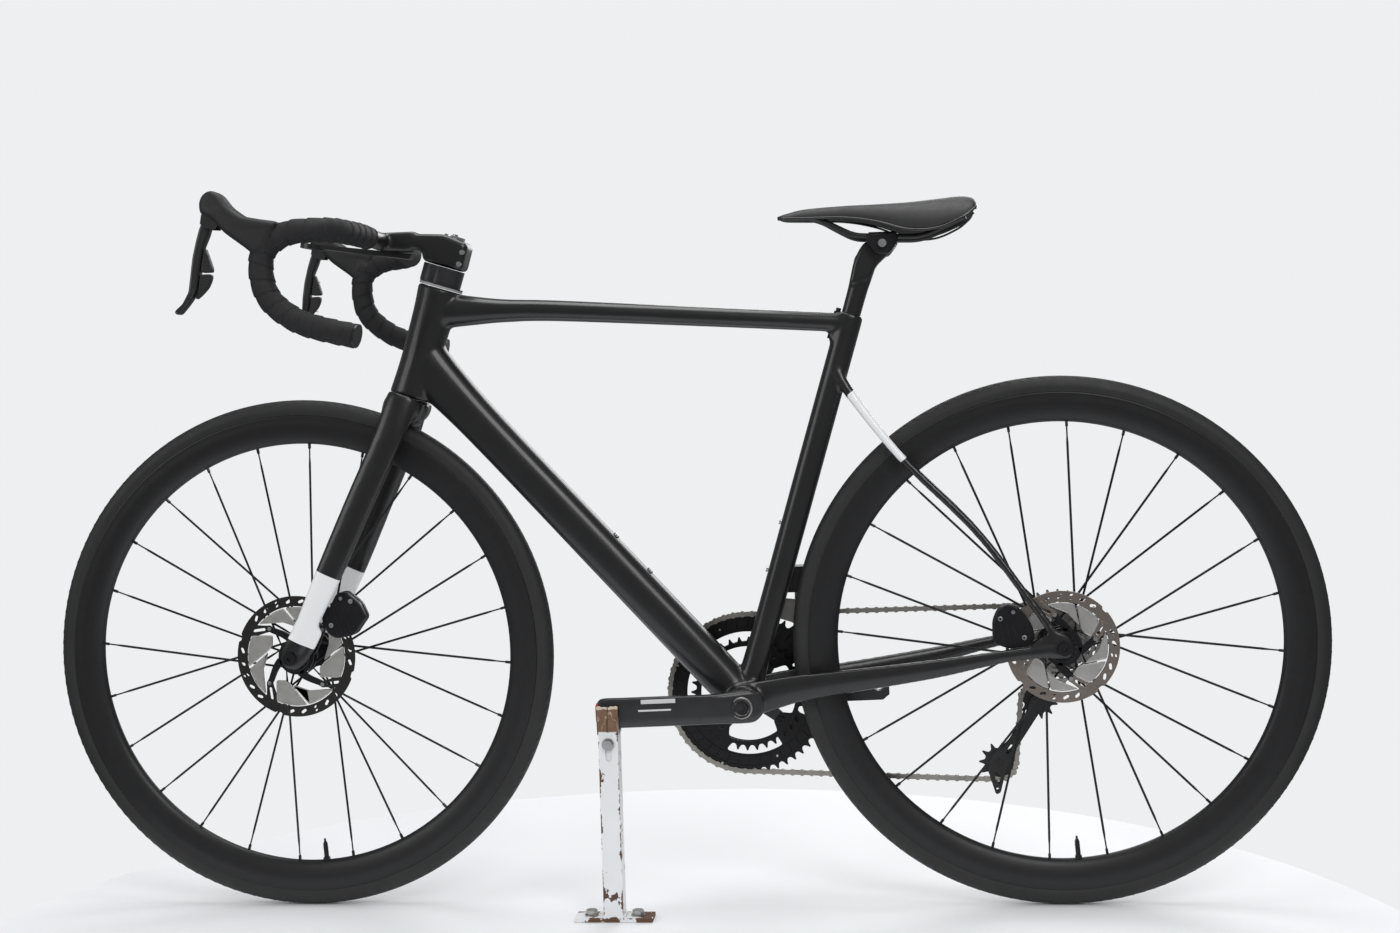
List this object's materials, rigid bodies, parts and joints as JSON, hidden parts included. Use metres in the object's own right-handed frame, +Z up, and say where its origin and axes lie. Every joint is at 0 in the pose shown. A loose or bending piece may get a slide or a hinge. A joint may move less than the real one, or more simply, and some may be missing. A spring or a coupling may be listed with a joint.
{
  "type": "bicycle on stand",
  "caption": "Drop-bar road bicycle with disc brakes and deep rims, held upright by a short post stand whose lined fork carries the left crank arm.",
  "frame": {"origin": "on the ground midway between the axles, in the middle plane", "axes": "+X forward, +Y to the left of the rider, +Z up"},
  "size_m": [1.67, 0.4492, 0.9315],
  "materials": {
    "carbon": "satin black clear-coated carbon",
    "matte_black": "matte black composite",
    "tyre": "black road tyre rubber",
    "rim": "satin black deep rim with a steel valve",
    "spoke": "black bladed steel",
    "hub": "black anodised",
    "disc": "ground steel track on a black carrier",
    "black_alloy": "black anodised",
    "steel": "plain steel",
    "chain": "worn grey chain plates",
    "crank": "dark grey with plain pale stripes",
    "rubber": "matte grip rubber",
    "tape": "wrapped cushioned tape",
    "saddle": "matte black synthetic cover",
    "stand_paint": "chipped white paint with rust at the edges",
    "leather": "worn brown leather"
  },
  "bodies": {
    "root": {"main_frame": "carbon", "chain_stays": "carbon", "seat_stays": "carbon", "headset_bearings": "steel", "bottom_bracket_bearings": "steel", "bottle_cage_bolts": "steel", "seatpost_wedge": "black_alloy", "derailleur_hanger": "black_alloy", "rear_axle": "black_alloy", "rear_caliper": "black_alloy", "front_derailleur": "matte_black", "chain": "chain", "rear_derailleur_knuckle": "black_alloy", "stand_post": "stand_paint", "stand_anchor_bolts": "steel", "stand_cup": "stand_paint", "stand_cup_lining": "leather", "stand_clamp_bolt": "steel"},
    "steering": {"fork": "carbon", "headset_spacers": "black_alloy", "handlebar": "carbon", "stem_bolts": "black_alloy", "computer_mount": "matte_black", "front_axle": "black_alloy", "bar_tape": "tape", "bar_end_plugs": "matte_black", "lever_brackets": "matte_black", "lever_hoods": "rubber", "front_caliper": "black_alloy"},
    "left_lever": {"left_brake_lever": "matte_black"},
    "right_lever": {"right_brake_lever": "matte_black"},
    "left_upper_paddle": {"left_upper_shift_paddle": "matte_black"},
    "left_lower_paddle": {"left_lower_shift_paddle": "matte_black"},
    "right_upper_paddle": {"right_upper_shift_paddle": "matte_black"},
    "right_lower_paddle": {"right_lower_shift_paddle": "matte_black"},
    "front_wheel": {"front_tyre": "tyre", "front_rim": "rim", "front_spokes": "spoke", "front_hub": "hub", "front_brake_disc": "disc"},
    "rear_wheel": {"rear_tyre": "tyre", "rear_rim": "rim", "rear_spokes": "spoke", "rear_hub": "hub", "rear_brake_disc": "disc"},
    "cassette_body": {"cassette": "steel"},
    "crankset": {"left_crank_arm": "crank", "right_crank_arm": "crank", "chainrings": "black_alloy"},
    "front_shifter_cage": {"front_derailleur_cage": "steel"},
    "outer_link": {"rear_derailleur_outer_link": "black_alloy"},
    "inner_link": {"rear_derailleur_inner_link": "black_alloy"},
    "carrier": {"rear_derailleur_carrier": "black_alloy"},
    "rear_cage": {"pulley_cage": "matte_black"},
    "guide_pulley_body": {"guide_pulley": "matte_black"},
    "tension_pulley_body": {"tension_pulley": "matte_black"},
    "post_body": {"seatpost": "carbon"},
    "saddle_body": {"saddle": "saddle", "saddle_rails": "steel", "saddle_clamp": "black_alloy"}
  },
  "joints": [
    {"name": "steer", "type": "hinge", "parent": "root", "child": "steering", "pos_m": [0.33952, 0, 0.676], "axis": [-0.309, 0, 0.9511], "range_deg": [-60, 60]},
    {"name": "front_wheel_spin", "type": "hinge", "parent": "steering", "child": "front_wheel", "pos_m": [0.4965, 0, 0.3385], "axis": [0, 1, 0], "continuous": true},
    {"name": "rear_wheel_spin", "type": "hinge", "parent": "root", "child": "rear_wheel", "pos_m": [-0.4965, 0, 0.3385], "axis": [0, 1, 0], "continuous": true},
    {"name": "crank_spin", "type": "hinge", "parent": "root", "child": "crankset", "pos_m": [-0.0944, 0, 0.269], "axis": [0, -1, 0], "range_deg": [0, 300], "deforming": ["chain"]},
    {"name": "cassette_spin", "type": "hinge", "parent": "root", "child": "cassette_body", "pos_m": [-0.4965, 0, 0.3385], "axis": [0, -1, 0], "continuous": true},
    {"name": "front_shift", "type": "slide", "parent": "root", "child": "front_shifter_cage", "axis": [0, 1, 0], "range_m": [0, 0.0075]},
    {"name": "rear_shift", "type": "hinge", "parent": "root", "child": "outer_link", "pos_m": [-0.48656, -0.07969, 0.3073], "axis": [0.3644, 0.7431, 0.5612], "range_deg": [-44, 16]},
    {"name": "inner_link_turn", "type": "hinge", "parent": "root", "child": "inner_link", "pos_m": [-0.49344, -0.06831, 0.2967], "axis": [0.3644, 0.7431, 0.5612], "range_deg": [-45, 17]},
    {"name": "carrier_turn", "type": "hinge", "parent": "outer_link", "child": "carrier", "pos_m": [-0.46079, -0.07386, 0.28285], "axis": [0.3644, 0.7431, 0.5612], "range_deg": [-17, 45]},
    {"name": "cage_swing", "type": "hinge", "parent": "carrier", "child": "rear_cage", "pos_m": [-0.473, -0.03492, 0.2575], "axis": [0, -1, 0], "range_deg": [-40, 35]},
    {"name": "guide_pulley_spin", "type": "hinge", "parent": "rear_cage", "child": "guide_pulley_body", "pos_m": [-0.473, -0.03492, 0.2575], "axis": [0, -1, 0], "continuous": true},
    {"name": "tension_pulley_spin", "type": "hinge", "parent": "rear_cage", "child": "tension_pulley_body", "pos_m": [-0.42083, -0.03492, 0.17572], "axis": [0, -1, 0], "continuous": true},
    {"name": "seatpost_height", "type": "slide", "parent": "root", "child": "post_body", "axis": [-0.2907, 0, 0.9568], "range_m": [-0.025, 0.07]},
    {"name": "saddle_tilt", "type": "hinge", "parent": "post_body", "child": "saddle_body", "pos_m": [-0.287, 0, 0.851], "axis": [0, 1, 0], "range_deg": [-10, 10]},
    {"name": "left_brake", "type": "hinge", "parent": "steering", "child": "left_lever", "pos_m": [0.527, 0.199, 0.89], "axis": [0, 1, 0], "range_deg": [0, 22], "stiffness_Nm_per_rad": 0.8, "springref_deg": -5.73},
    {"name": "left_upper_shift_press", "type": "hinge", "parent": "left_lever", "child": "left_upper_paddle", "pos_m": [0.524, 0.1995, 0.847], "axis": [0.189, 0, -0.982], "range_deg": [0, 4], "stiffness_Nm_per_rad": 0.3, "springref_deg": -1.72},
    {"name": "left_lower_shift_press", "type": "hinge", "parent": "left_lever", "child": "left_lower_paddle", "pos_m": [0.5304, 0.1995, 0.822], "axis": [0.3039, 0, -0.9527], "range_deg": [0, 4], "stiffness_Nm_per_rad": 0.3, "springref_deg": -1.72},
    {"name": "right_brake", "type": "hinge", "parent": "steering", "child": "right_lever", "pos_m": [0.527, -0.199, 0.89], "axis": [0, 1, 0], "range_deg": [0, 22], "stiffness_Nm_per_rad": 0.8, "springref_deg": -5.73},
    {"name": "right_upper_shift_press", "type": "hinge", "parent": "right_lever", "child": "right_upper_paddle", "pos_m": [0.524, -0.1995, 0.847], "axis": [-0.189, 0, 0.982], "range_deg": [0, 4], "stiffness_Nm_per_rad": 0.3, "springref_deg": -1.72},
    {"name": "right_lower_shift_press", "type": "hinge", "parent": "right_lever", "child": "right_lower_paddle", "pos_m": [0.5304, -0.1995, 0.822], "axis": [-0.3039, 0, 0.9527], "range_deg": [0, 4], "stiffness_Nm_per_rad": 0.3, "springref_deg": -1.72}
  ],
  "couplings": [
    {"joint": "cassette_spin", "follows": "crank_spin", "ratio": 2.4762},
    {"joint": "guide_pulley_spin", "follows": "crank_spin", "ratio": -4.7273},
    {"joint": "tension_pulley_spin", "follows": "crank_spin", "ratio": 4.7273},
    {"joint": "inner_link_turn", "follows": "rear_shift", "ratio": 1},
    {"joint": "carrier_turn", "follows": "rear_shift", "ratio": -1}
  ]
}
